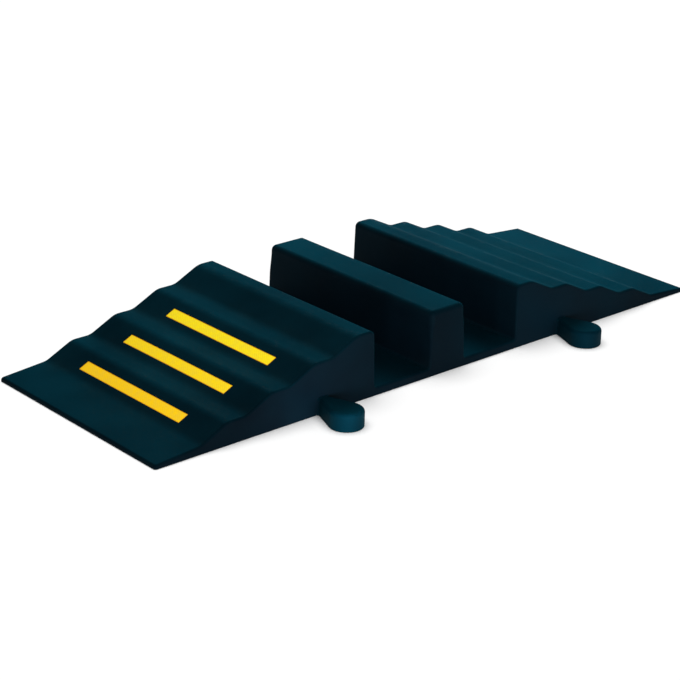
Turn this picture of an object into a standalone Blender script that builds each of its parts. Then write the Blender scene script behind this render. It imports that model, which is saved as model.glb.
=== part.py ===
"""Rubber hose bridge with two channels.

The bridge lies on a floor so that wheels can roll over two hoses. Length runs along X, the channels
run along Y and +Z is up. The origin is the middle of the flat underside. The front long side, at -Y,
carries two link lugs; the back long side, at +Y, has the two pockets that take a neighbour's lugs.
"""
import math

import bmesh
import bpy
from mathutils import Euler, Matrix, Vector

# Overall layout along X: ramp, channel, rib, channel, ramp
RAMP_LENGTH = 0.310
CHANNEL_WIDTH = 0.088
RIB_WIDTH = 0.054
WIDTH = 0.300
HEIGHT = 0.080
BASE_THICKNESS = 0.010
HALF_LENGTH = RAMP_LENGTH + CHANNEL_WIDTH + RIB_WIDTH / 2

# Terraces of one ramp, counted from the toe
TOE_THICKNESS = 0.005
TOE_LAND = 0.062
TOE_RISE = 0.005
RISERS = 4
RISER_RUN = 0.036
TREAD = 0.026
RISER_RISE = (HEIGHT - TOE_THICKNESS - TOE_RISE) / RISERS
RISER_SLOPE = math.atan2(RISER_RISE, RISER_RUN)

# Rounding and draft of the moulding
TERRACE_RADIUS = 0.024
TOP_RADIUS = 0.030
CHANNEL_EDGE_RADIUS = 0.007
SIDE_EDGE = 0.003
SIDE_EDGE_SEGMENTS = 2
SIDE_DRAFT = math.radians(1.5)
CHANNEL_DRAFT = 0.001
ARC_STEP = math.radians(8.0)
SHARP_ANGLE = math.radians(30.0)

# Link lugs on the front, pockets on the back
LUG_OFFSET = 0.193
LUG_HEAD_RADIUS = 0.0205
LUG_REACH = 0.060
LUG_ROOT_HALF = 0.0065
LUG_THICKNESS = 0.021
LUG_EDGE = 0.004
LUG_EDGE_SEGMENTS = 3
LUG_ROOT_IN_BODY = 0.020
POCKET_CLEARANCE = 0.0015
POCKET_HEIGHT = LUG_THICKNESS + POCKET_CLEARANCE
POCKET_CUT_BELOW = 0.010

# Reflective strips, let into the lower risers
STRIPS_PER_RAMP = 3
STRIP_LENGTH = 0.190
STRIP_WIDTH = 0.0145
STRIP_THICKNESS = 0.001
STRIP_DROP = 0.0015
RECESS_DEPTH = 0.0016
RECESS_CUT_ABOVE = 0.003
FIT_GAP = 0.0003


def clear_scene():
    for item in list(bpy.data.objects):
        bpy.data.objects.remove(item, do_unlink=True)


def make_material(name, colour, roughness, metallic=0.0):
    material = bpy.data.materials.new(name)
    material.use_nodes = True
    shader = material.node_tree.nodes["Principled BSDF"]
    shader.inputs["Base Color"].default_value = (*colour, 1.0)
    shader.inputs["Roughness"].default_value = roughness
    shader.inputs["Metallic"].default_value = metallic
    material.diffuse_color = (*colour, 1.0)
    return material


def make_object(name, mesh_builder, material=None):
    """Wrap a finished bmesh in a named object at the origin."""
    mesh = bpy.data.meshes.new(name)
    bmesh.ops.recalc_face_normals(mesh_builder, faces=mesh_builder.faces)
    mesh_builder.to_mesh(mesh)
    mesh_builder.free()
    item = bpy.data.objects.new(name, mesh)
    bpy.context.scene.collection.objects.link(item)
    if material:
        mesh.materials.append(material)
    return item


def rounded(corners):
    """Turn (x, z, radius) corners into points, with an arc at each corner that has a radius."""
    points = []
    count = len(corners)
    for index, (x, z, radius) in enumerate(corners):
        corner = Vector((x, z))
        if radius == 0.0:
            points.append(corner)
            continue
        before = Vector(corners[index - 1][:2]) - corner
        after = Vector(corners[(index + 1) % count][:2]) - corner
        before.normalize()
        after.normalize()
        turn = math.pi - before.angle(after)
        tangent = radius * math.tan(turn / 2)
        centre = corner + (before + after).normalized() * (radius / math.cos(turn / 2))
        start = corner + before * tangent - centre
        end = corner + after * tangent - centre
        steps = max(2, math.ceil(turn / ARC_STEP))
        side = math.copysign(1.0, start.x * end.y - start.y * end.x)
        for step in range(steps + 1):
            angle = side * turn * step / steps
            spoke = Matrix.Rotation(angle, 2) @ start
            points.append(centre + spoke)
    return points


def half_corners():
    """Corners of the left half's top line, from the toe over the ramp and the channel to the rib."""
    x = -HALF_LENGTH
    z = TOE_THICKNESS
    corners = [(x, z, 0.0)]
    x += TOE_LAND
    z += TOE_RISE
    for riser in range(RISERS):
        corners.append((x, z, TERRACE_RADIUS))
        x += RISER_RUN
        z += RISER_RISE
        last = riser == RISERS - 1
        corners.append((x, z, TOP_RADIUS if last else TERRACE_RADIUS))
        x += TREAD
    ramp_edge = RAMP_LENGTH - HALF_LENGTH
    rib_edge = -RIB_WIDTH / 2
    corners.append((ramp_edge, HEIGHT, CHANNEL_EDGE_RADIUS))
    corners.append((ramp_edge + CHANNEL_DRAFT, BASE_THICKNESS, 0.0))
    corners.append((rib_edge - CHANNEL_DRAFT, BASE_THICKNESS, 0.0))
    corners.append((rib_edge, HEIGHT, CHANNEL_EDGE_RADIUS))
    return corners


def side_outline():
    """Closed outline seen from the side: ramp, channel, rib, channel and ramp on one flat underside."""
    left = half_corners()
    right = [(-x, z, radius) for x, z, radius in reversed(left)]
    floor = [(HALF_LENGTH, 0.0, 0.0), (-HALF_LENGTH, 0.0, 0.0)]
    return rounded(left + right + floor)


def extrude_across(outline, half_width, draft):
    """Extrude an XZ outline along Y, lean both ends inward by the draft and round their edges."""
    builder = bmesh.new()
    rings = []
    for side in (-1.0, 1.0):
        ring = []
        for point in outline:
            y = side * (half_width - point.y * math.tan(draft))
            ring.append(builder.verts.new((point.x, y, point.y)))
        rings.append(ring)
    count = len(outline)
    for index in range(count):
        after = (index + 1) % count
        builder.faces.new((rings[0][index], rings[0][after], rings[1][after], rings[1][index]))
    ends = [builder.faces.new(rings[0]), builder.faces.new(list(reversed(rings[1])))]
    lowest = min(point.y for point in outline)
    edges = set()
    for face in ends:
        for edge in face.edges:
            if max(vert.co.z for vert in edge.verts) > lowest + SIDE_EDGE:
                edges.add(edge)
    bmesh.ops.recalc_face_normals(builder, faces=builder.faces)
    bmesh.ops.bevel(
        builder,
        geom=list(edges),
        offset=SIDE_EDGE,
        offset_type="OFFSET",
        segments=SIDE_EDGE_SEGMENTS,
        profile=0.5,
        affect="EDGES",
        clamp_overlap=True,
    )
    return builder


def lug_outline(grow):
    """Keyhole outline in XY: a round head on a neck that narrows to its root at y = 0."""
    radius = LUG_HEAD_RADIUS + grow
    centre = Vector((0.0, -(LUG_REACH - LUG_HEAD_RADIUS)))
    root = Vector((LUG_ROOT_HALF + grow, 0.0))
    spoke = root - centre
    angle = math.atan2(spoke.y, spoke.x) - math.acos(radius / spoke.length)
    steps = math.ceil((math.pi / 2 + angle) / ARC_STEP)
    right = []
    for step in range(steps + 1):
        turn = -math.pi / 2 + (angle + math.pi / 2) * step / steps
        right.append(centre + radius * Vector((math.cos(turn), math.sin(turn))))
    right.append(root)
    right.append(Vector((root.x, LUG_ROOT_IN_BODY)))
    left = [Vector((-point.x, point.y)) for point in reversed(right[1:])]
    return right + left


def lug_solid(grow, thickness, edge):
    """Extrude the lug outline up from the floor, with its upper edge rounded."""
    builder = bmesh.new()
    outline = lug_outline(grow)
    ring = [builder.verts.new((point.x, point.y, 0.0)) for point in outline]
    face = builder.faces.new(ring)
    grown = bmesh.ops.extrude_face_region(builder, geom=[face])
    top = [item for item in grown["geom"] if isinstance(item, bmesh.types.BMVert)]
    bmesh.ops.translate(builder, verts=top, vec=(0.0, 0.0, thickness))
    bmesh.ops.recalc_face_normals(builder, faces=builder.faces)
    if edge > 0.0:
        upper = [item for item in builder.edges if min(v.co.z for v in item.verts) > thickness / 2]
        bmesh.ops.bevel(
            builder,
            geom=upper,
            offset=edge,
            offset_type="OFFSET",
            segments=LUG_EDGE_SEGMENTS,
            profile=0.5,
            affect="EDGES",
            clamp_overlap=True,
        )
    return builder


def cutter(name, builder):
    item = make_object(name, builder)
    item.hide_render = True
    item.display_type = "WIRE"
    return item


def combine(body, tool, operation):
    """Apply one exact Boolean to the body and remove its tool."""
    modifier = body.modifiers.new(operation.lower(), "BOOLEAN")
    modifier.operation = operation
    modifier.object = tool
    modifier.solver = "EXACT"
    graph = bpy.context.evaluated_depsgraph_get()
    mesh = bpy.data.meshes.new_from_object(body.evaluated_get(graph))
    body.modifiers.clear()
    body.data = mesh
    bpy.data.objects.remove(tool, do_unlink=True)


def strip_frame(side, index):
    """Place and rotation that lay a strip on one riser, a little below the riser's middle."""
    run = TOE_LAND + index * (RISER_RUN + TREAD) + RISER_RUN / 2
    rise = TOE_THICKNESS + TOE_RISE + (index + 0.5) * RISER_RISE
    centre = Vector((side * (HALF_LENGTH - run), 0.0, rise))
    turn = Euler((0.0, side * RISER_SLOPE, 0.0)).to_matrix().to_4x4()
    drop = Matrix.Translation((side * STRIP_DROP, 0.0, 0.0))
    return Matrix.Translation(centre) @ turn @ drop


def box(size, low, high):
    """Box of size (x, y) between two heights."""
    builder = bmesh.new()
    bmesh.ops.create_cube(builder, size=1.0)
    for vert in builder.verts:
        height = high if vert.co.z > 0.0 else low
        vert.co = Vector((vert.co.x * size[0], vert.co.y * size[1], height))
    return builder


def build_body(material):
    body = make_object("bridge_body", extrude_across(side_outline(), WIDTH / 2, SIDE_DRAFT), material)
    for side in (-1.0, 1.0):
        lug = make_object("lug", lug_solid(0.0, LUG_THICKNESS, LUG_EDGE))
        lug.data.transform(Matrix.Translation((side * LUG_OFFSET, -WIDTH / 2, 0.0)))
        combine(body, lug, "UNION")
        pocket = cutter("pocket", lug_solid(POCKET_CLEARANCE, POCKET_CUT_BELOW + POCKET_HEIGHT, 0.0))
        pocket.data.transform(Matrix.Translation((side * LUG_OFFSET, WIDTH / 2, -POCKET_CUT_BELOW)))
        combine(body, pocket, "DIFFERENCE")
        for index in range(STRIPS_PER_RAMP):
            size = (STRIP_WIDTH + 2 * FIT_GAP, STRIP_LENGTH + 2 * FIT_GAP)
            recess = cutter("recess", box(size, -RECESS_DEPTH, RECESS_CUT_ABOVE))
            recess.data.transform(strip_frame(side, index))
            combine(body, recess, "DIFFERENCE")
    body.data.shade_smooth()
    body.data.set_sharp_from_angle(angle=SHARP_ANGLE)
    return body


def build_strips(material):
    low = FIT_GAP - RECESS_DEPTH
    for side, label in ((-1.0, "left"), (1.0, "right")):
        for index in range(STRIPS_PER_RAMP):
            name = f"reflector_strip_{label}_{index + 1}"
            strip = make_object(name, box((STRIP_WIDTH, STRIP_LENGTH), low, low + STRIP_THICKNESS), material)
            strip.matrix_world = strip_frame(side, index)


def main():
    clear_scene()
    rubber = make_material("black_rubber", (0.004, 0.022, 0.034), 0.55)
    reflective = make_material("yellow_reflective", (0.88, 0.56, 0.01), 0.35)
    build_body(rubber)
    build_strips(reflective)


main()
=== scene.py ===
# %% [markdown]
# A rubber hose bridge, dressed for its portrait.
#
# The bridge is a heavy black rubber moulding that lies on a road, so that wheels can roll over two
# hoses without crushing them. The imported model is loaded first. It fixes every size and place, and this
# script only gives the object its fine shape, its finishes, its light and its camera.

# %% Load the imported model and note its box
import math

import bmesh
import bpy
import numpy as np
from mathutils import Matrix, Vector
from mathutils.geometry import delaunay_2d_cdt


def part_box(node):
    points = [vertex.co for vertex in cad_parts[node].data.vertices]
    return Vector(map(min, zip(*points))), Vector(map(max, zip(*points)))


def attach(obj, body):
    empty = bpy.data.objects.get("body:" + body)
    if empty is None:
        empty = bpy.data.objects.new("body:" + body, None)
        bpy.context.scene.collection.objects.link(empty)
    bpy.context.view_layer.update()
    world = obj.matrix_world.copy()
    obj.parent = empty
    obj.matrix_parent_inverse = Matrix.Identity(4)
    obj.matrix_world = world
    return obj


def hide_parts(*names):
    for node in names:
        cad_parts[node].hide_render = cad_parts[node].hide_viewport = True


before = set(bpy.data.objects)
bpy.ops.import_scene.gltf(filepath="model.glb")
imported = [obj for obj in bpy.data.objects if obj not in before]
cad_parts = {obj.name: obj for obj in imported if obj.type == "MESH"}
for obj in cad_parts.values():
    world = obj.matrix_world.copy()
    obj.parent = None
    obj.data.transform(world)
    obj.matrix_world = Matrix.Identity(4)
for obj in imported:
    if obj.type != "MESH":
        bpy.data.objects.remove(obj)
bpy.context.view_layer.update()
print("packed nodes:", sorted(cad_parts))

# %% [markdown]
# Sizes come next. The box of the body gives the length, the height and the width; the other numbers
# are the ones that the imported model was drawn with. A ramp has a flat toe and then four risers with
# level treads between them. Crests that wheels meet have large radii, and the mould's side edges small
# ones.

# %% Sizes of the moulding, in metres
body_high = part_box("bridge_body")[1]
HALF_LENGTH = body_high.x
HALF_WIDTH = body_high.y
HEIGHT = body_high.z
RAMP_LENGTH = 0.310
RIB_WIDTH = 0.054
BASE_THICKNESS = 0.010
TOE_THICKNESS = 0.005
TOE_LAND = 0.062
TOE_RISE = 0.005
RISERS = 4
RISER_RUN = 0.036
TREAD = 0.026
RISER_RISE = (HEIGHT - TOE_THICKNESS - TOE_RISE) / RISERS
RISER_SLOPE = math.atan2(RISER_RISE, RISER_RUN)

TERRACE_RADIUS = 0.024
TOP_RADIUS = 0.030
CHANNEL_EDGE_RADIUS = 0.007
CHANNEL_FOOT_RADIUS = 0.004
CHANNEL_DRAFT = 0.001
TOE_EDGE_RADIUS = 0.0036
FLOOR_EDGE_RADIUS = 0.0008
SIDE_RADIUS = 0.0032
RIB_END_RADIUS = 0.0066
SIDE_DRAFT = math.radians(1.5)
print(f"bridge {2 * HALF_LENGTH:.3f} x {2 * HALF_WIDTH:.3f} x {HEIGHT:.3f} m, riser {RISER_RISE:.4f} m")

# %% [markdown]
# Two helpers do most of the modelling. The first turns a few corners with radii into a smooth outline,
# as a draughtsman does with a compass: each fillet's centre lies on the bisector of its corner. The
# second weaves a grid of points into quads. Both work on whole numpy arrays, so a finer outline costs
# nothing but a smaller step.

# %% Outline helpers
STRAIGHT_STEP = 0.006
ARC_POINTS = 9


def fillet(before, corner, after, radius):
    """Arc that rounds a corner: centre = corner + bisector * radius / sin(half angle)."""
    toward = (before - corner) / np.linalg.norm(before - corner)
    away = (after - corner) / np.linalg.norm(after - corner)
    half = np.arccos(np.clip(toward @ away, -1.0, 1.0)) / 2
    bisector = (toward + away) / np.linalg.norm(toward + away)
    centre = corner + bisector * radius / np.sin(half)
    reach = radius / np.tan(half)
    start = corner + toward * reach - centre
    end = corner + away * reach - centre
    share = np.linspace(0.0, 1.0, ARC_POINTS)[:, None]
    spoke = start * (1 - share) + end * share
    return centre + spoke / np.linalg.norm(spoke, axis=1)[:, None] * radius


def outline(corners):
    """Closed path through (a, b, radius) corners: arcs at the corners, even steps on the straights."""
    points = np.array([corner[:2] for corner in corners])
    following = np.roll(points, -1, axis=0)
    arcs = []
    for index, (_, _, radius) in enumerate(corners):
        arc = points[index][None, :]
        if radius > 0.0:
            arc = fillet(points[index - 1], points[index], following[index], radius)
        arcs.append(arc)
    path = []
    for arc, after in zip(arcs, arcs[1:] + arcs[:1]):
        cuts = max(1, int(np.linalg.norm(after[0] - arc[-1]) / STRAIGHT_STEP))
        share = np.linspace(0.0, 1.0, cuts + 1)[1:-1, None]
        path += [arc, arc[-1] * (1 - share) + after[0] * share]
    return np.concatenate(path)


def outward(path):
    """Normals of a closed path that runs clockwise: its tangent, turned a quarter to the left."""
    tangent = np.roll(path, -1, axis=0) - np.roll(path, 1, axis=0)
    normal = np.stack([-tangent[:, 1], tangent[:, 0]], axis=1)
    return normal / np.linalg.norm(normal, axis=1)[:, None]


# %% [markdown]
# A ring is closed by a lid. Its points lie in long straight rows, and a plain fan of triangles would put
# some flat slivers between three points of one row, which tear the skin open when shapes are fused
# later. Delaunay's rule picks the triangles that are least thin, so no sliver comes up.

# %% Mesh helpers
LID_PRECISION = 1e-9


def lid(ring, first):
    """Delaunay triangles that fill one flat closed ring, numbered from the first point."""
    widest = np.sort(np.argsort(np.ptp(ring, axis=0))[1:])
    flat = [Vector(point) for point in ring[:, widest]]
    inside_only = 1
    result = delaunay_2d_cdt(flat, [], [list(range(len(flat)))], inside_only, LID_PRECISION)
    given = [numbers[0] for numbers in result[3]]
    return [[first + given[corner] for corner in triangle] for triangle in result[2]]


def solid(name, points):
    """Closed solid: quads between neighbouring rings of a (rings, around, 3) array, and two lids."""
    rings, around = points.shape[:2]
    ring, step = np.meshgrid(np.arange(rings - 1), np.arange(around), indexing="ij")
    here = ring * around + step
    beside = ring * around + (step + 1) % around
    quads = np.stack([here, beside, beside + around, here + around], axis=-1).reshape(-1, 4)
    lids = lid(points[0], 0) + lid(points[-1], (rings - 1) * around)
    mesh = bpy.data.meshes.new(name)
    mesh.from_pydata(points.reshape(-1, 3), [], quads.tolist() + lids)
    builder = bmesh.new()
    builder.from_mesh(mesh)
    bmesh.ops.recalc_face_normals(builder, faces=builder.faces)
    builder.to_mesh(mesh)
    builder.free()
    piece = bpy.data.objects.new(name, mesh)
    bpy.context.scene.collection.objects.link(piece)
    return piece


# %% [markdown]
# The whole moulding is one long outline, drawn from the side and carried across the width: a ramp, a
# channel, the rib, the other channel and the other ramp. The real thing comes out of a mould, so its
# side faces lean in a little, and every edge along them is rounded. Near each side the outline
# therefore shrinks along its own normals on a quarter circle: the inset in the outline's plane is
# R(1 - sin t) and the sideways inset R(1 - cos t), for t from 0 at the side face to 90 degrees on the
# top. A block that is bevelled by hand would look the same, but the formula keeps every quad even, and
# dark rubber shows uneven shading at once.

# %% The moulding's side outline
def half_corners():
    """Left half, from the lower toe edge to the rib's top, as (x, z, radius) corners."""
    x = -HALF_LENGTH
    z = TOE_THICKNESS
    corners = [(x, 0.0, FLOOR_EDGE_RADIUS), (x, z, TOE_EDGE_RADIUS)]
    x += TOE_LAND
    z += TOE_RISE
    for riser in range(RISERS):
        corners.append((x, z, TERRACE_RADIUS))
        x += RISER_RUN
        z += RISER_RISE
        crest = TOP_RADIUS if riser == RISERS - 1 else TERRACE_RADIUS
        corners.append((x, z, crest))
        x += TREAD
    ramp_edge = RAMP_LENGTH - HALF_LENGTH
    rib_edge = -RIB_WIDTH / 2
    corners.append((ramp_edge, HEIGHT, CHANNEL_EDGE_RADIUS))
    corners.append((ramp_edge + CHANNEL_DRAFT, BASE_THICKNESS, CHANNEL_FOOT_RADIUS))
    corners.append((rib_edge - CHANNEL_DRAFT, BASE_THICKNESS, CHANNEL_FOOT_RADIUS))
    corners.append((rib_edge, HEIGHT, CHANNEL_EDGE_RADIUS))
    return corners


left_half = half_corners()
right_half = [(-x, z, radius) for x, z, radius in reversed(left_half)]
side_path = outline(left_half + right_half)
print("side outline:", len(side_path), "points")

# %% Carry the outline across the width
SIDE_RINGS = 7
WIDTH_STATIONS = 33
FLOOR_BAND = FLOOR_EDGE_RADIUS * 1.01
TOE_GATHER = 0.030
TOE_GATHER_POWER = 8
SAG_DEPTHS = (0.00009, 0.00007, 0.00004)
SAG_ALONG = (41.0, 17.0, 67.0)
SAG_ACROSS = (23.0, -31.0, 12.0)
SAG_SHIFTS = (1.3, 0.7, -0.4)
RIB_END_START = 0.040
RIB_END_FULL = 0.072


def eased(share):
    """Smoothstep 3s^2 - 2s^3: leaves 0 and reaches 1 without a kink."""
    return share * share * (3 - 2 * share)


def side_radii(path):
    """Edge radius at each outline point: small along the ramps, growing up the rib to its top edge."""
    rise = np.clip((path[:, 1] - RIB_END_START) / (RIB_END_FULL - RIB_END_START), 0.0, 1.0)
    on_rib = np.abs(path[:, 0]) < RIB_WIDTH / 2 + CHANNEL_DRAFT
    return SIDE_RADIUS + (RIB_END_RADIUS - SIDE_RADIUS) * (eased(rise) * on_rib)


def mould_wobble(x, y):
    """Sag of cooled rubber: sum of depth * (wave - 1) over three long crossed waves, 0.4 mm at most."""
    waves = [
        np.sin(x * SAG_ALONG[0] + SAG_SHIFTS[0]) * np.cos(y * SAG_ACROSS[0]),
        np.sin(x * SAG_ALONG[1] + y * SAG_ACROSS[1] + SAG_SHIFTS[1]),
        np.cos(x * SAG_ALONG[2] + y * SAG_ACROSS[2] + SAG_SHIFTS[2]),
    ]
    return sum(depth * (wave - 1) for depth, wave in zip(SAG_DEPTHS, waves))


def carry_across(path):
    """Rings of the outline from side to side, with both sides leaning and their edges rounded.

    The inset is radius * (1 - sin t) in the outline's plane and radius * (1 - cos t) sideways. On the
    floor it is small and upright, and only near a toe it also draws the outline in along the bridge.
    """
    normal = outward(path)
    radius = side_radii(path)
    below = path[:, 1] < FLOOR_BAND
    near_toe = np.clip((np.abs(path[:, 0]) - HALF_LENGTH) / TOE_GATHER + 1, 0.0, 1.0)
    along = np.where(below, np.sign(path[:, 0]) * near_toe, normal[:, 0])
    upright = normal[:, 1] * np.where(below, FLOOR_EDGE_RADIUS, radius)
    inset = -np.stack([along * radius, upright], axis=1)
    floor_radius = FLOOR_EDGE_RADIUS + (radius - FLOOR_EDGE_RADIUS) * near_toe**TOE_GATHER_POWER
    sideways = np.where(below, floor_radius, radius)
    turn = np.linspace(0.0, math.pi / 2, SIDE_RINGS)[:, None]
    x = path[None, :, 0] + inset[None, :, 0] * (1 - np.sin(turn))
    z = path[None, :, 1] + inset[None, :, 1] * (1 - np.sin(turn))
    y = HALF_WIDTH - z * math.tan(SIDE_DRAFT) - sideways[None, :] * (1 - np.cos(turn))
    across = np.linspace(-1.0, 1.0, WIDTH_STATIONS)[1:-1, None]
    xs = np.concatenate([x, np.repeat(x[-1:], len(across), axis=0), x[::-1]])
    zs = np.concatenate([z, np.repeat(z[-1:], len(across), axis=0), z[::-1]])
    ys = np.concatenate([-y, across * y[-1:], y[::-1]])
    return np.stack([xs, ys, zs], axis=-1)


moulding = carry_across(side_path)
lifted = np.clip(moulding[..., 2] / BASE_THICKNESS, 0.0, 1.0)
inner = np.zeros(len(moulding))
inner[SIDE_RINGS - 1 : 1 - SIDE_RINGS] = 1.0
moulding[..., 2] += mould_wobble(moulding[..., 0], moulding[..., 1]) * lifted * inner[:, None]
body = solid("bridge_skin", moulding)
print("moulding:", moulding.shape[0], "rings of", moulding.shape[1], "points")

# %% [markdown]
# Two round-ended lugs stick out of the front side. Each one slides up into a pocket of the next unit, so
# that several bridges make a wide road. A lug is a stack of one outline: a round head, flanks that
# narrow towards the body, and a root that flares into the side face. Each ring of the stack is that
# outline, moved along its normals, which rounds the top edge. The pocket is the same outline a little
# larger, cut out of the far side.

# %% Link lugs and their pockets
LUG_OFFSET = 0.193
LUG_HEAD_RADIUS = 0.0205
LUG_REACH = 0.060
LUG_ROOT_HALF = 0.0065
LUG_THICKNESS = 0.021
LUG_TOP_RADIUS = 0.0045
LUG_ROOT_RADIUS = 0.0035
LUG_SINK = 0.0008
LUG_BURIED = 0.012
SHOULDER_REACH = 2.5
HEAD_POINTS = 3 * ARC_POINTS
POCKET_CLEARANCE = 0.0015
LEVELS = 8
quarter = np.linspace(0.0, math.pi / 2, LEVELS)


def stack(path, insets, heights):
    """Rings of one outline: at each height the outline, moved inwards along its normals by the inset."""
    plan = path[None] - outward(path)[None] * insets[:, None, None]
    level = np.broadcast_to(heights[:, None, None], (len(heights), len(path), 1))
    return np.concatenate([plan, level], axis=-1)


def keyhole(grow, root_radius, buried):
    """Clockwise outline: head one reach out, flanks tangent to it, a rounded root and a buried tail."""
    radius = LUG_HEAD_RADIUS + grow
    centre = np.array([0.0, LUG_HEAD_RADIUS - LUG_REACH])
    root = np.array([LUG_ROOT_HALF + grow, LUG_SINK])
    spoke = root - centre
    tangent = math.atan2(spoke[1], spoke[0]) - math.acos(radius / np.linalg.norm(spoke))
    turn = np.linspace(tangent, -math.pi / 2, HEAD_POINTS)
    head = centre + radius * np.stack([np.cos(turn), np.sin(turn)], axis=1)
    shoulder = root + [SHOULDER_REACH * root_radius, 0.0]
    tail = np.array([[shoulder[0], buried]])
    if root_radius > 0.0:
        tail = np.concatenate([tail, shoulder[None, :], fillet(shoulder, root, head[0], root_radius)])
    else:
        tail = np.concatenate([tail, root[None, :]])
    half = np.concatenate([tail, head])
    return np.concatenate([half, half[-2::-1] * [-1.0, 1.0]])


lug_path = keyhole(0.0, LUG_ROOT_RADIUS, LUG_BURIED)
pocket_path = keyhole(POCKET_CLEARANCE, 0.0, LUG_BURIED)
lug_heights = LUG_THICKNESS - LUG_TOP_RADIUS * (1 - np.sin(quarter))
lug_heights = np.concatenate([[0.0, FLOOR_EDGE_RADIUS], lug_heights])
lug_insets = LUG_TOP_RADIUS * (1 - np.cos(quarter))
lug_insets = np.concatenate([[FLOOR_EDGE_RADIUS, 0.0], lug_insets])
pocket_heights = np.array([-LUG_THICKNESS, LUG_THICKNESS + POCKET_CLEARANCE])
lugs = []
pockets = []
for side in (-1.0, 1.0):
    front = np.array([side * LUG_OFFSET, -HALF_WIDTH, 0.0])
    back = np.array([side * LUG_OFFSET, HALF_WIDTH, 0.0])
    lugs.append(solid("lug", stack(lug_path, lug_insets, lug_heights) + front))
    pockets.append(solid("pocket", stack(pocket_path, np.zeros(2), pocket_heights) + back))
print("lug outline:", len(lug_path), "points")

# %% [markdown]
# Each reflective strip lies in a shallow recess, so that tyres roll over it without peeling it off. The
# recess is a plain box, laid on its riser. Then all the shapes are fused into one closed skin, because
# the real bridge is one moulding; the Boolean modifier does it exactly. Points that end up closer than
# a hundredth of a millimetre are merged, and the census at the end counts edges that don't join exactly
# two faces: a closed skin has none.

# %% Recesses, and one fused skin
STRIPS_PER_RAMP = 3
STRIP_LENGTH = 0.190
STRIP_WIDTH = 0.0145
STRIP_THICKNESS = 0.001
STRIP_DROP = 0.0015
RECESS_DEPTH = 0.0016
CUTTER_TOP = RECESS_DEPTH * 3
FIT_GAP = 0.0003
MERGE_GAP = 0.00001


def strip_frame(side, index):
    """Place and turn that lay a strip on one riser: its x runs across the riser, its z stands off it."""
    run = TOE_LAND + index * (RISER_RUN + TREAD) + RISER_RUN / 2
    rise = TOE_THICKNESS + TOE_RISE + (index + 0.5) * RISER_RISE
    place = Matrix.Translation((side * (HALF_LENGTH - run), 0.0, rise))
    turn = Matrix.Rotation(side * RISER_SLOPE, 4, "Y")
    return place @ turn @ Matrix.Translation((side * STRIP_DROP, 0.0, 0.0))


def recess_box(side, index):
    """Cutter one recess deep, a fitting gap larger than its strip all round."""
    half_x = STRIP_WIDTH / 2 + FIT_GAP
    half_y = STRIP_LENGTH / 2 + FIT_GAP
    path = np.array([[-half_x, -half_y], [-half_x, half_y], [half_x, half_y], [half_x, -half_y]])
    heights = np.array([-RECESS_DEPTH, CUTTER_TOP])
    cutter = solid("recess", stack(path, np.zeros(2), heights))
    cutter.data.transform(strip_frame(side, index))
    return cutter


def fuse(target, tool, operation):
    """Apply one exact Boolean to the target and take its tool away."""
    modifier = target.modifiers.new("fuse", "BOOLEAN")
    modifier.operation = operation
    modifier.object = tool
    modifier.solver = "EXACT"
    graph = bpy.context.evaluated_depsgraph_get()
    mesh = bpy.data.meshes.new_from_object(target.evaluated_get(graph))
    target.modifiers.clear()
    target.data = mesh
    bpy.data.objects.remove(tool, do_unlink=True)


def clean(mesh):
    """Merge points closer than MERGE_GAP, and count the edges that don't join exactly two faces."""
    builder = bmesh.new()
    builder.from_mesh(mesh)
    bmesh.ops.remove_doubles(builder, verts=builder.verts, dist=MERGE_GAP)
    bmesh.ops.dissolve_degenerate(builder, dist=MERGE_GAP, edges=builder.edges)
    loose = sum(len(edge.link_faces) != 2 for edge in builder.edges)
    builder.to_mesh(mesh)
    builder.free()
    return loose


places = [(side, index) for side in (-1.0, 1.0) for index in range(STRIPS_PER_RAMP)]
for lug in lugs:
    fuse(body, lug, "UNION")
for pocket in pockets:
    fuse(body, pocket, "DIFFERENCE")
for side, index in places:
    fuse(body, recess_box(side, index), "DIFFERENCE")
body.data.name = "bridge_skin"
loose_edges = clean(body.data)
print("fused skin:", len(body.data.polygons), "faces,", loose_edges, "loose edges")

# %% [markdown]
# Large smooth curves next to crisp edges need care with shading. Everything is shaded smooth, the edges
# sharper than 32 degrees are marked, and weighted normals keep the big faces flat up to their fillets.

# %% Shading of the skin
SKIN_SHARP_ANGLE = math.radians(32.0)
body.data.shade_smooth()
body.data.set_sharp_from_angle(angle=SKIN_SHARP_ANGLE)
weighted = body.modifiers.new("even_shading", "WEIGHTED_NORMAL")
weighted.keep_sharp = True
print("shading set on", body.name)

# %% [markdown]
# Use leaves traces: tyres and boots rub the crests, and dust settles in the hollows between them. The
# crest mask, which also takes in a band along the top of each side face, makes these places lighter:
# partly rubbing wear and partly painted highlight. A painter would mask these by hand. Here they follow
# from the
# outline: a bell curve of the distance to the nearest crest, or the nearest hollow, is stored on each
# vertex, and the rubber's material reads it.

# %% Where the rubber wears and takes painted highlight, and where dust settles
CREST_REACH = 0.008
HOLLOW_REACH = 0.011
SIDE_REACH = 0.004
SIDE_SKIN = 0.0002


def nearness(points, centres, reach):
    """Bell curve exp(-(distance to the nearest centre / reach)^2), from 0 far away to 1 on a centre."""
    gaps = np.linalg.norm(points[:, None, :] - centres[None, :, :], axis=2)
    return np.exp(-((gaps.min(axis=1) / reach) ** 2))


def both_sides(corners):
    """(x, z) of some corners of the left half, and of their mirror images."""
    left = np.array(corners)[:, :2]
    return np.concatenate([left, left * [-1.0, 1.0]])


def store(mesh, name, values):
    """Keep one number per vertex under a name."""
    mesh.attributes.new(name, "FLOAT", "POINT").data.foreach_set("value", values)


def vertex_places(mesh):
    """Places of all vertices, as rows of x, y, z."""
    places = np.zeros(len(mesh.vertices) * 3)
    mesh.vertices.foreach_get("co", places)
    return places.reshape(-1, 3)


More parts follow.
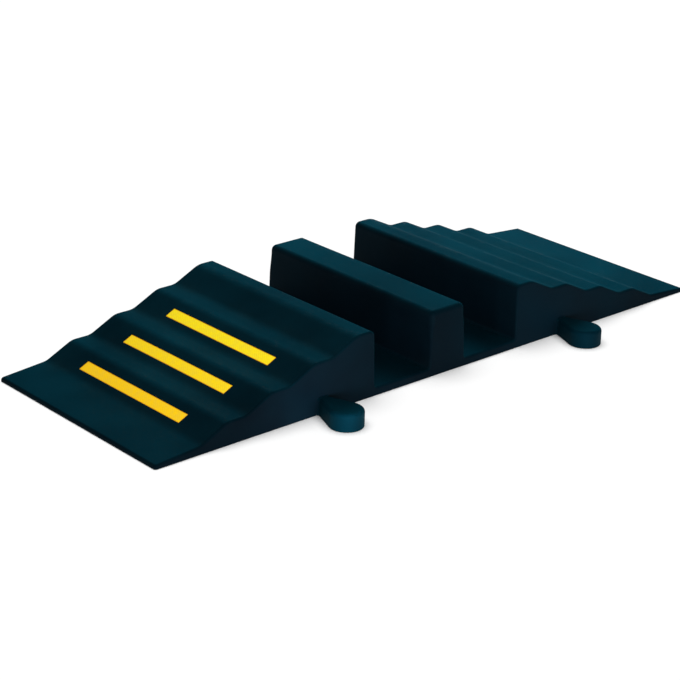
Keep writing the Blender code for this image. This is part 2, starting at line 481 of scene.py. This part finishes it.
def corner_vertices(mesh):
    """For each face corner, the number of its vertex."""
    numbers = np.zeros(len(mesh.loops), dtype=int)
    mesh.loops.foreach_get("vertex_index", numbers)
    return numbers


# Counted from 0, the left half's corners 2, 4, 6 and 8 are the feet of the risers, and 11 and 12 those
# of the channel's walls. Corners 3, 5, 7 and 9 are the crests, and 10 and 13 the channel's upper edges.
hollows = both_sides(left_half[2:10:2] + left_half[11:13])
crests = both_sides(left_half[3:11:2] + left_half[10:11] + left_half[13:14])
skin_points = vertex_places(body.data)
to_side = HALF_WIDTH - skin_points[:, 2] * math.tan(SIDE_DRAFT) - np.abs(skin_points[:, 1])
on_top = to_side > SIDE_SKIN
# The crests and a band along the top of each side face are painted lighter: rubbing wear and painted
# highlight.
rim = np.exp(-((to_side / SIDE_REACH) ** 2)) * (skin_points[:, 2] > BASE_THICKNESS)
crest_wear_and_highlight = np.maximum(nearness(skin_points[:, [0, 2]], crests, CREST_REACH), rim) * on_top
hollow_dust = nearness(skin_points[:, [0, 2]], hollows, HOLLOW_REACH) * on_top
store(body.data, "crest_wear_and_highlight", crest_wear_and_highlight)
store(body.data, "hollow_dust", hollow_dust)
print(f"worn points: {(crest_wear_and_highlight > 0.5).sum()}, dusty points: {(hollow_dust > 0.5).sum()}")

# %% [markdown]
# Upright faces are painted a darker, greyer rubber colour than level ones: this is painted shade on the
# walls, risers and side faces. The mask is worked out from how level the faces are: each vertex takes the
# most level face around it, eased between two limits, so that no painted shade spreads from the small
# walls of a recess over its riser. A vertex in the plane of a side face always counts as upright, even
# where a lug joins it.
# The mask fades out along the lugs.

# %% Where the painted shade goes
PAINTED_SHADE_NONE = 0.85
PAINTED_SHADE_FULL = 0.35
LUG_FADE = 0.008


def levelness(mesh):
    """For each vertex the largest upright share |normal z| of the faces that meet there."""
    normals = np.zeros(len(mesh.polygons) * 3)
    mesh.polygon_normals.foreach_get("vector", normals)
    corners = np.zeros(len(mesh.polygons), dtype=int)
    mesh.polygons.foreach_get("loop_total", corners)
    level = np.zeros(len(mesh.vertices))
    np.maximum.at(level, corner_vertices(mesh), np.repeat(np.abs(normals[2::3]), corners))
    return level


# Mask of the painted shade on upright faces.
level = np.where(np.abs(to_side) < SIDE_SKIN, 0.0, levelness(body.data))
upright_shade = np.clip((PAINTED_SHADE_NONE - level) / (PAINTED_SHADE_NONE - PAINTED_SHADE_FULL), 0.0, 1.0)
on_lug = np.clip(-to_side / LUG_FADE, 0.0, 1.0)
store(body.data, "wall_painted_shade", eased(upright_shade) * (1 - on_lug))
print(f"bloomed points: {(upright_shade > 0.5).sum()}")

# %% [markdown]
# A strip is a thin plastic slab with small rounded corners and a softened upper edge. It carries its own
# UV map, in metres along and across it, because the pattern of its tiny prisms follows the strip and
# not the room.

# %% Reflective strips
STRIP_CORNER_RADIUS = 0.0009
STRIP_EDGE_RADIUS = 0.0003
STRIP_SHARP_ANGLE = math.radians(40.0)
FLAT_MAP = "strip_metres"


def strip_points():
    """Slab of rounded rectangles, from its underside to its softened upper edge."""
    half_x = STRIP_WIDTH / 2
    half_y = STRIP_LENGTH / 2
    signs = [(-1, -1), (-1, 1), (1, 1), (1, -1)]
    path = outline([(half_x * x, half_y * y, STRIP_CORNER_RADIUS) for x, y in signs])
    low = FIT_GAP - RECESS_DEPTH
    high = low + STRIP_THICKNESS
    heights = np.concatenate([[low], high - STRIP_EDGE_RADIUS * (1 - np.sin(quarter))])
    insets = np.concatenate([[0.0], STRIP_EDGE_RADIUS * (1 - np.cos(quarter))])
    return stack(path, insets, heights)


def map_flat(piece):
    """Write each corner's place along and across the strip, in metres, into a UV map."""
    flat = vertex_places(piece.data)[corner_vertices(piece.data)][:, [1, 0]]
    layer = piece.data.uv_layers.new(name=FLAT_MAP)
    layer.data.foreach_set("uv", flat.ravel())


def let_sag(piece):
    """Lower each vertex by the sag of the rubber around it, so that the strip keeps its seat."""
    seat = vertex_places(piece.data)
    seat[:, 2] += mould_wobble(seat[:, 0], seat[:, 1])
    piece.data.vertices.foreach_set("co", seat.ravel())


strips = []
for side, index in places:
    label = "left" if side < 0 else "right"
    strip = solid(f"strip_{label}_{index + 1}", strip_points())
    map_flat(strip)
    strip.data.transform(strip_frame(side, index))
    let_sag(strip)
    # Each strip's step from a warm yellow at the toe to a lemon yellow higher up.
    store(strip.data, "strip_order", np.full(len(strip.data.vertices), index / (STRIPS_PER_RAMP - 1)))
    strip.data.shade_smooth()
    strip.data.set_sharp_from_angle(angle=STRIP_SHARP_ANGLE)
    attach(strip, "root")
    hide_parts(f"reflector_strip_{label}_{index + 1}")
    strips.append(strip)
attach(body, "root")
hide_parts("bridge_body")
print("strips:", len(strips))

# %% [markdown]
# Materials. They are built from nodes that read the object's own coordinates, its strips' flat maps and
# the stored wear, so the pattern stays put from every side. A few small helpers keep the node code
# readable: one does a sum, one maps a range, one mixes two colours, and one places a whole group.

# %% Node helpers
# The Mix node repeats its socket names for each kind of data, so its colour sockets go by number.
MIX_COLOUR_INPUTS = (0, 6, 7)
MIX_COLOUR_OUTPUT = 2


def new_group(name, inputs, outputs):
    """Shader node group with named sockets, and its two end nodes."""
    group = bpy.data.node_groups.new(name, "ShaderNodeTree")
    for label, value in inputs:
        socket = group.interface.new_socket(label, in_out="INPUT", socket_type="NodeSocketFloat")
        socket.default_value = value
    for label in outputs:
        group.interface.new_socket(label, in_out="OUTPUT", socket_type="NodeSocketFloat")
    return group, group.nodes.new("NodeGroupInput"), group.nodes.new("NodeGroupOutput")


def plug(tree, socket, value):
    """Link an output to a socket, or set the socket to a plain value."""
    if hasattr(value, "is_linked"):
        tree.links.new(value, socket)
    else:
        socket.default_value = value


def maths(tree, operation, *values):
    """Math node over sockets or numbers."""
    node = tree.nodes.new("ShaderNodeMath")
    node.operation = operation
    for socket, value in zip(node.inputs, values):
        plug(tree, socket, value)
    return node.outputs[0]


def spread(tree, value, low, high, to_low=0.0, to_high=1.0):
    """Map Range node: low..high becomes to_low..to_high, clamped."""
    node = tree.nodes.new("ShaderNodeMapRange")
    for socket, setting in zip(node.inputs, (value, low, high, to_low, to_high)):
        plug(tree, socket, setting)
    return node.outputs[0]


def mix_colour(tree, factor, first, second):
    """Colour mix whose factor and colours may be sockets or values."""
    node = tree.nodes.new("ShaderNodeMix")
    node.data_type = "RGBA"
    for number, value in zip(MIX_COLOUR_INPUTS, (factor, first, second)):
        plug(tree, node.inputs[number], value)
    return node.outputs[MIX_COLOUR_OUTPUT]


def noise(tree, scale, detail):
    """Noise over the object's own coordinates, in metres."""
    place = tree.nodes.new("ShaderNodeTexCoord")
    node = tree.nodes.new("ShaderNodeTexNoise")
    node.inputs["Detail"].default_value = detail
    tree.links.new(place.outputs["Object"], node.inputs["Vector"])
    plug(tree, node.inputs["Scale"], scale)
    return node.outputs["Fac"]


def use(tree, group, **values):
    """Place a group in a tree and set or link its inputs; returns its only output."""
    node = tree.nodes.new("ShaderNodeGroup")
    node.node_tree = group
    for label, value in values.items():
        plug(tree, node.inputs[label.replace("_", " ").title()], value)
    return node.outputs[0]


print("node helpers ready")

# %% [markdown]
# Three effects are used by both the rubber and the strips, each with its own values: a slow drift of
# tone, a fine grain, and a patchy edge that breaks up wear and dust. Each is a node group, which is a
# function for materials: it is built once, and changing it changes both finishes.

# %% Mottle: slow drift of tone
MOTTLE_INPUTS = [("Scale", 9.0), ("Strength", 0.8)]
DRIFT_LOW = 0.32
DRIFT_HIGH = 0.68
DRIFT_DETAIL = 3.0


def make_mottle():
    """Broad noise, spread to the range 0 to 1, times a strength."""
    group, start, end = new_group("mould_mottle", MOTTLE_INPUTS, ["Mask"])
    broad = noise(group, start.outputs["Scale"], DRIFT_DETAIL)
    drift = spread(group, broad, DRIFT_LOW, DRIFT_HIGH)
    plug(group, end.inputs["Mask"], maths(group, "MULTIPLY", drift, start.outputs["Strength"]))
    return group


mottle_group = make_mottle()
print("group:", mottle_group.name)

# %% Grain: the fine skin that the mould leaves
GRAIN_INPUTS = [("Cells Per Metre", 1100.0), ("Swell", 1.2)]
CELL_SHARE = 0.7
PITS_SCALE = 2400.0
PITS_DETAIL = 2.0
SWELL_SCALE = 60.0
SWELL_DETAIL = 3.0


def make_grain():
    """Height = cells * share + pits + slow swells, for a Bump node."""
    group, start, end = new_group("fine_grain", GRAIN_INPUTS, ["Height"])
    place = group.nodes.new("ShaderNodeTexCoord")
    cells = group.nodes.new("ShaderNodeTexVoronoi")
    cells.feature = "SMOOTH_F1"
    plug(group, cells.inputs["Vector"], place.outputs["Object"])
    plug(group, cells.inputs["Scale"], start.outputs["Cells Per Metre"])
    pits = noise(group, PITS_SCALE, PITS_DETAIL)
    fine = maths(group, "MULTIPLY_ADD", cells.outputs["Distance"], CELL_SHARE, pits)
    swells = noise(group, SWELL_SCALE, SWELL_DETAIL)
    height = maths(group, "MULTIPLY_ADD", swells, start.outputs["Swell"], fine)
    plug(group, end.inputs["Height"], height)
    return group


grain_group = make_grain()
print("group:", grain_group.name)

# %% Patchy: breaks a smooth mask into spots
PATCHY_INPUTS = [("Amount", 1.0), ("Scale", 60.0)]
PATCH_LOW = 0.40
PATCH_HIGH = 0.62
PATCH_DETAIL = 6.0


def make_patchy():
    """Mask = amount * noise that has been spread until it has clear patches."""
    group, start, end = new_group("patchy", PATCHY_INPUTS, ["Mask"])
    patches = noise(group, start.outputs["Scale"], PATCH_DETAIL)
    patches = spread(group, patches, PATCH_LOW, PATCH_HIGH)
    plug(group, end.inputs["Mask"], maths(group, "MULTIPLY", patches, start.outputs["Amount"]))
    return group


patchy_group = make_patchy()
print("group:", patchy_group.name)

# %% [markdown]
# The rubber is nearly black with a clear blue-green cast. Its tone drifts over the length. The upright
# faces are painted darker and greyer, which is painted shade. The crests and the top rims of the side
# faces are a little lighter and smoother, partly from rubbing wear and partly as painted highlight, and
# dust makes the hollows greyer and duller. The gloss is weak and soft, and a trace of sheen lifts the
# cast where the eye grazes the surface.

# %% Rubber
RUBBER_DARK = (0.0005, 0.0135, 0.0240, 1.0)
RUBBER_LIGHT = (0.0008, 0.0300, 0.0480, 1.0)
# Darker, greyer colours of the upright faces: painted shade.
PAINTED_SHADE_DARK = (0.0036, 0.0097, 0.0182, 1.0)
PAINTED_SHADE_LIGHT = (0.0044, 0.0216, 0.0365, 1.0)
# Lighter colour of the crests and side rims: rubbing wear and painted highlight.
RUBBED_AND_HIGHLIT = (0.0035, 0.0360, 0.0520, 1.0)
RUBBER_DUSTY = (0.0110, 0.0330, 0.0390, 1.0)
RUBBER_SHEEN = (0.004, 0.58, 0.84, 1.0)
RUBBER_GLOSS = (0.30, 0.80, 1.0, 1.0)
RUBBER_DRIFT_SCALE = 9.0
RUBBER_DRIFT = 0.9
RUBBED_HIGHLIGHT_SHARE = 0.18
RUBBED_HIGHLIGHT_SCALE = 45.0
DUSTY_SHARE = 0.25
DUSTY_SCALE = 28.0
ROUGH_LOW = 0.50
ROUGH_HIGH = 0.62
RUBBED_SMOOTHER = -0.10
DUSTY_ROUGHER = 0.20
SHADED_WALL_ROUGHER = 0.06
RUBBER_SWELL = 1.2
GRAIN_DEPTH = 0.00020
GRAIN_STRENGTH = 0.70
RUBBER_SPECULAR = 0.15
SHEEN_WEIGHT = 0.10
SHEEN_ROUGHNESS = 0.45


def relief(tree, height, depth, strength):
    """Bump node: a height of 1 stands for depth metres, and strength scales the tilt that it gives."""
    bump = tree.nodes.new("ShaderNodeBump")
    bump.inputs["Distance"].default_value = depth
    bump.inputs["Strength"].default_value = strength
    plug(tree, bump.inputs["Height"], height)
    return bump.outputs["Normal"]


def stored(tree, name):
    """Value that the mesh keeps per vertex under a name."""
    node = tree.nodes.new("ShaderNodeAttribute")
    node.attribute_name = name
    return node.outputs["Fac"]


def make_rubber():
    """Principled shader: mottled base, painted shade on walls, lighter crests (wear and painted
    highlight), dusty hollows, grain.
    """
    material = bpy.data.materials.new("teal_black_rubber")
    material.use_nodes = True
    tree = material.node_tree
    shader = tree.nodes["Principled BSDF"]
    drift = use(tree, mottle_group, scale=RUBBER_DRIFT_SCALE, strength=RUBBER_DRIFT)
    # Crests and side rims: rubbing wear and painted highlight.
    rubbed_and_highlit = use(tree, patchy_group, amount=stored(tree, "crest_wear_and_highlight"), scale=RUBBED_HIGHLIGHT_SCALE)
    dusty = use(tree, patchy_group, amount=stored(tree, "hollow_dust"), scale=DUSTY_SCALE)
    # Painted shade on the upright faces.
    painted_shade = stored(tree, "wall_painted_shade")
    shade_colour = mix_colour(tree, drift, PAINTED_SHADE_DARK, PAINTED_SHADE_LIGHT)
    colour = mix_colour(tree, drift, RUBBER_DARK, RUBBER_LIGHT)
    colour = mix_colour(tree, painted_shade, colour, shade_colour)
    colour = mix_colour(tree, maths(tree, "MULTIPLY", rubbed_and_highlit, RUBBED_HIGHLIGHT_SHARE), colour, RUBBED_AND_HIGHLIT)
    colour = mix_colour(tree, maths(tree, "MULTIPLY", dusty, DUSTY_SHARE), colour, RUBBER_DUSTY)
    plug(tree, shader.inputs["Base Color"], colour)
    rough = spread(tree, drift, 0.0, 1.0, ROUGH_LOW, ROUGH_HIGH)
    rough = maths(tree, "MULTIPLY_ADD", painted_shade, SHADED_WALL_ROUGHER, rough)
    rough = maths(tree, "MULTIPLY_ADD", rubbed_and_highlit, RUBBED_SMOOTHER, rough)
    rough = maths(tree, "MULTIPLY_ADD", dusty, DUSTY_ROUGHER, rough)
    plug(tree, shader.inputs["Roughness"], rough)
    grain = use(tree, grain_group, swell=RUBBER_SWELL)
    plug(tree, shader.inputs["Normal"], relief(tree, grain, GRAIN_DEPTH, GRAIN_STRENGTH))
    shader.inputs["Specular IOR Level"].default_value = RUBBER_SPECULAR
    shader.inputs["Specular Tint"].default_value = RUBBER_GLOSS
    shader.inputs["Sheen Weight"].default_value = SHEEN_WEIGHT
    shader.inputs["Sheen Roughness"].default_value = SHEEN_ROUGHNESS
    shader.inputs["Sheen Tint"].default_value = RUBBER_SHEEN
    return material


def dress(piece, material):
    """Give a piece one material."""
    piece.data.materials.clear()
    piece.data.materials.append(material)


dress(body, make_rubber())
print("rubber on", body.name)

# %% [markdown]
# The strips are retroreflective sheeting: a clear face over rows of tiny prisms, sealed along its edge.
# The prisms show as a fine lattice of diamonds, a little darker along its lines, and the sealed border
# is more orange. The strips go from a warm yellow at the toe to a lemon yellow higher up, each one a step
# more lemon than the one below it. The lattice is the distance to the nearest of two crossed sets of
# parallel lines, which are turned 45 degrees to the strip and read its own flat map.

# %% Reflective yellow
STRIP_WARM = (0.90, 0.550, 0.004, 1.0)
STRIP_LEMON = (0.92, 0.745, 0.007, 1.0)
STRIP_LINE = (0.78, 0.400, 0.003, 1.0)
STRIP_BORDER = (0.72, 0.330, 0.003, 1.0)
STRIP_SCUFF = (0.50, 0.400, 0.060, 1.0)
PRISM_PITCH = 0.0024
BORDER_WIDTH = 0.0007
BORDER_FADE = 1.4
PRISM_TURN = math.radians(45.0)
LINE_CORE = PRISM_PITCH * 0.04
LINE_RIM = PRISM_PITCH * 0.12
LINE_SHARE = 0.5
YELLOW_DRIFT_SCALE = 14.0
YELLOW_DRIFT = 0.12
SCUFF_SHARE = 0.16
SCUFF_SCALE = 160.0
STRIP_SMOOTH = 0.32
STRIP_SCUFFED = 0.46
PRISM_SHARE = 0.5
STRIP_SWELL = 0.3
STRIP_GRAIN_SHARE = 0.12
PRISM_DEPTH = 0.00012
PRISM_STRENGTH = 0.4
COAT_WEIGHT = 0.25
COAT_ROUGHNESS = 0.15


def lattice(tree, flat):
    """0 on the lines of a diamond lattice, 1 between them."""
    turned = tree.nodes.new("ShaderNodeVectorRotate")
    turned.rotation_type = "Z_AXIS"
    turned.inputs["Angle"].default_value = PRISM_TURN
    plug(tree, turned.inputs["Vector"], flat)
    parts = tree.nodes.new("ShaderNodeSeparateXYZ")
    plug(tree, parts.inputs["Vector"], turned.outputs["Vector"])
    waves = [maths(tree, "PINGPONG", parts.outputs[axis], PRISM_PITCH / 2) for axis in ("X", "Y")]
    nearest = maths(tree, "MINIMUM", *waves)
    return spread(tree, nearest, LINE_CORE, LINE_RIM)


def border(tree, flat):
    """0 on the sealed border, 1 inside: how far a point lies from the strip's nearest edge."""
    parts = tree.nodes.new("ShaderNodeSeparateXYZ")
    plug(tree, parts.inputs["Vector"], flat)
    across = maths(tree, "SUBTRACT", STRIP_WIDTH / 2, maths(tree, "ABSOLUTE", parts.outputs["Y"]))
    along = maths(tree, "SUBTRACT", STRIP_LENGTH / 2, maths(tree, "ABSOLUTE", parts.outputs["X"]))
    return spread(tree, maths(tree, "MINIMUM", across, along), BORDER_WIDTH, BORDER_WIDTH * BORDER_FADE)


def make_reflective():
    """Principled shader under a thin clear coat: warm-to-lemon colour, prism lattice, sealed border,
    scuffs.
    """
    material = bpy.data.materials.new("yellow_prismatic_sheet")
    material.use_nodes = True
    tree = material.node_tree
    shader = tree.nodes["Principled BSDF"]
    flat_map = tree.nodes.new("ShaderNodeUVMap")
    flat_map.uv_map = FLAT_MAP
    flat = flat_map.outputs["UV"]
    inside = border(tree, flat)
    prisms = lattice(tree, flat)
    lines = maths(tree, "MULTIPLY", maths(tree, "SUBTRACT", 1.0, prisms), LINE_SHARE)
    drift = use(tree, mottle_group, scale=YELLOW_DRIFT_SCALE, strength=YELLOW_DRIFT)
    scuffs = use(tree, patchy_group, amount=SCUFF_SHARE, scale=SCUFF_SCALE)
    yellowness = maths(tree, "ADD", stored(tree, "strip_order"), drift)
    colour = mix_colour(tree, yellowness, STRIP_WARM, STRIP_LEMON)
    colour = mix_colour(tree, lines, colour, STRIP_LINE)
    colour = mix_colour(tree, scuffs, colour, STRIP_SCUFF)
    colour = mix_colour(tree, inside, STRIP_BORDER, colour)
    plug(tree, shader.inputs["Base Color"], colour)
    rough = spread(tree, scuffs, 0.0, SCUFF_SHARE, STRIP_SMOOTH, STRIP_SCUFFED)
    plug(tree, shader.inputs["Roughness"], rough)
    height = maths(tree, "MULTIPLY_ADD", maths(tree, "MULTIPLY", prisms, inside), PRISM_SHARE, inside)
    grain = use(tree, grain_group, swell=STRIP_SWELL)
    height = maths(tree, "MULTIPLY_ADD", grain, STRIP_GRAIN_SHARE, height)
    plug(tree, shader.inputs["Normal"], relief(tree, height, PRISM_DEPTH, PRISM_STRENGTH))
    shader.inputs["Coat Weight"].default_value = COAT_WEIGHT
    shader.inputs["Coat Roughness"].default_value = COAT_ROUGHNESS
    return material


reflective = make_reflective()
for strip in strips:
    dress(strip, reflective)
print("prism pitch:", PRISM_PITCH)

# %% [markdown]
# The stage is a plain pale floor that runs out of the picture. It looks nearly white to the camera, but
# a floor that bright would also light the dark walls of the channels from below. It is therefore darker
# for bounced light, as when a photographer lays black card beside a product. The Light Path node tells
# the two kinds of ray apart. From below the floor is see-through, so that the underside can be seen.

# %% Floor
FLOOR_HALF = 8.0
FLOOR_HEIGHT = -0.0002
FLOOR_SEEN = (0.97, 0.97, 0.97, 1.0)
FLOOR_BOUNCE = (0.25, 0.25, 0.25, 1.0)
FLOOR_ROUGHNESS = 0.9


def make_floor():
    """Large square just under z = 0, whose back lets everything through."""
    corners = np.array([[-1, -1, 0], [1, -1, 0], [1, 1, 0], [-1, 1, 0]]) * FLOOR_HALF
    corners[:, 2] = FLOOR_HEIGHT
    mesh = bpy.data.meshes.new("floor")
    mesh.from_pydata(corners.tolist(), [], [(0, 1, 2, 3)])
    piece = bpy.data.objects.new("floor", mesh)
    bpy.context.scene.collection.objects.link(piece)
    material = bpy.data.materials.new("pale_floor")
    material.use_nodes = True
    tree = material.node_tree
    shader = tree.nodes["Principled BSDF"]
    shader.inputs["Roughness"].default_value = FLOOR_ROUGHNESS
    shader.inputs["Specular IOR Level"].default_value = 0.0
    rays = tree.nodes.new("ShaderNodeLightPath")
    colour = mix_colour(tree, rays.outputs["Is Camera Ray"], FLOOR_BOUNCE, FLOOR_SEEN)
    plug(tree, shader.inputs["Base Color"], colour)
    sides = tree.nodes.new("ShaderNodeNewGeometry")
    clear = tree.nodes.new("ShaderNodeBsdfTransparent")
    either = tree.nodes.new("ShaderNodeMixShader")
    plug(tree, either.inputs[0], sides.outputs["Backfacing"])
    plug(tree, either.inputs[1], shader.outputs["BSDF"])
    plug(tree, either.inputs[2], clear.outputs["BSDF"])
    plug(tree, tree.nodes["Material Output"].inputs["Surface"], either.outputs["Shader"])
    dress(piece, material)
    return piece


floor = make_floor()
print("floor:", 2 * FLOOR_HALF, "m square")

# %% [markdown]
# Six lamps and a dim white sky. The key, a wide soft box behind the right end, draws the terraces: level
# faces and the far ramp catch it, while the risers and walls that face the camera stay dark. A low fill
# in front lifts the long side face, and a tiny kicker close to each lug lifts its head. Retroreflective
# sheeting sends light straight back to where it came from, which a plain shader can't do, so a small
# flash beside the camera lights only the strips. The last lamp, a broad overhead sun, lights only the
# floor and keeps it white. Light linking says which lamp lights what. The key, the kickers and the sky
# give no gloss, because their white mirror image would hide the dark rubber's colour from the camera, as
# a polarising filter would take it away in a studio.

# %% Light
SKY_STRENGTH = 0.22
SKY_COLOUR = (1.0, 1.0, 1.0, 1.0)
AIM = (0.0, 0.0, 0.04)
KEY = {"place": (0.95, 1.00, 0.75), "size": (0.9, 0.9), "power": 40.0}
FILL = {"place": (-0.5, -2.1, 0.16), "size": (1.2, 0.2), "power": 6.0}
FILL_COLOUR = (1.0, 0.78, 0.92)
FLASH = {"place": (-1.5, -1.6, 1.3), "size": (0.8, 0.8), "power": 66.0}
KICKERS = {"left": 0.070, "right": 0.022}
KICKER_SIZE = 0.03
KICKER_AWAY = (-0.045, -0.060, 0.018)
OVERHEAD_STRENGTH = 2.7
OVERHEAD_WIDTH = math.radians(70.0)


def make_sky():
    """Even white light from everywhere above, seen by everything but gloss."""
    world = bpy.data.worlds.new("sky")
    bpy.context.scene.world = world
    world.use_nodes = True
    background = world.node_tree.nodes["Background"]
    background.inputs["Color"].default_value = SKY_COLOUR
    background.inputs["Strength"].default_value = SKY_STRENGTH
    world.cycles_visibility.glossy = False


def add_lamp(name, kind, energy, pieces):
    """Lamp that lights only the pieces it is given."""
    data = bpy.data.lights.new(name, kind)
    data.energy = energy
    lamp = bpy.data.objects.new(name, data)
    bpy.context.scene.collection.objects.link(lamp)
    lit = bpy.data.collections.new(f"lit_by_{name}")
    for piece in pieces:
        lit.objects.link(piece)
    lamp.light_linking.receiver_collection = lit
    return lamp


def soft_box(name, place, size, power, pieces, target=AIM):
    """Rectangular lamp, invisible to the camera, that looks at a point of the bridge."""
    lamp = add_lamp(name, "AREA", power, pieces)
    lamp.data.shape = "RECTANGLE"
    lamp.data.size, lamp.data.size_y = size
    lamp.location = place
    lamp.rotation_euler = (Vector(target) - Vector(place)).to_track_quat("-Z", "Y").to_euler()
    lamp.visible_camera = False
    return lamp


make_sky()
key = soft_box("key", pieces=strips + [body], **KEY)
key.visible_glossy = False
fill = soft_box("fill", pieces=strips + [body], **FILL)
fill.data.color = FILL_COLOUR
flash = soft_box("flash", pieces=strips, **FLASH)
for side, (label, power) in zip((-1.0, 1.0), KICKERS.items()):
    head = Vector((side * LUG_OFFSET, LUG_HEAD_RADIUS - HALF_WIDTH - LUG_REACH, LUG_THICKNESS / 2))
    kicker = soft_box(
        f"kicker_{label}",
        head + Vector(KICKER_AWAY),
        (KICKER_SIZE, KICKER_SIZE),
        power,
        [body],
        head,
    )
    kicker.visible_glossy = False
overhead = add_lamp("overhead", "SUN", OVERHEAD_STRENGTH, [floor])
overhead.data.angle = OVERHEAD_WIDTH

# %% [markdown]
# The camera stands in front of the left toe and looks along the bridge, from a little above. Its place,
# turn and lens were found by matching the outline of the bridge to the picture. The lens is long, so
# edges that are parallel on the object stay nearly parallel in the image.

# %% Camera
CAMERA_PLACE = (-1.5586, -1.7176, 0.9440)
CAMERA_YAW = math.radians(41.54)
CAMERA_PITCH = math.radians(22.35)
CAMERA_ROLL = math.radians(1.25)
CAMERA_LENS_MM = 108.0
CAMERA_SENSOR_MM = 36.0


def aim(yaw, pitch, roll):
    """Turn of a camera from three angles: yaw from +Y towards +X, pitch down, roll about the view."""
    reach = math.cos(pitch)
    forward = Vector((math.sin(yaw) * reach, math.cos(yaw) * reach, -math.sin(pitch)))
    level = Vector((math.cos(yaw), -math.sin(yaw), 0.0))
    upright = level.cross(forward)
    right = level * math.cos(roll) + upright * math.sin(roll)
    up = upright * math.cos(roll) - level * math.sin(roll)
    return Matrix((right, up, -forward)).transposed()


camera_data = bpy.data.cameras.new("camera")
camera_data.lens = CAMERA_LENS_MM
camera_data.sensor_width = CAMERA_SENSOR_MM
camera = bpy.data.objects.new("camera", camera_data)
turn = aim(CAMERA_YAW, CAMERA_PITCH, CAMERA_ROLL).to_4x4()
camera.matrix_world = Matrix.Translation(CAMERA_PLACE) @ turn
bpy.context.scene.collection.objects.link(camera)
bpy.context.scene.camera = camera
bpy.context.scene.view_settings.view_transform = "Standard"
print("lens:", CAMERA_LENS_MM, "mm")
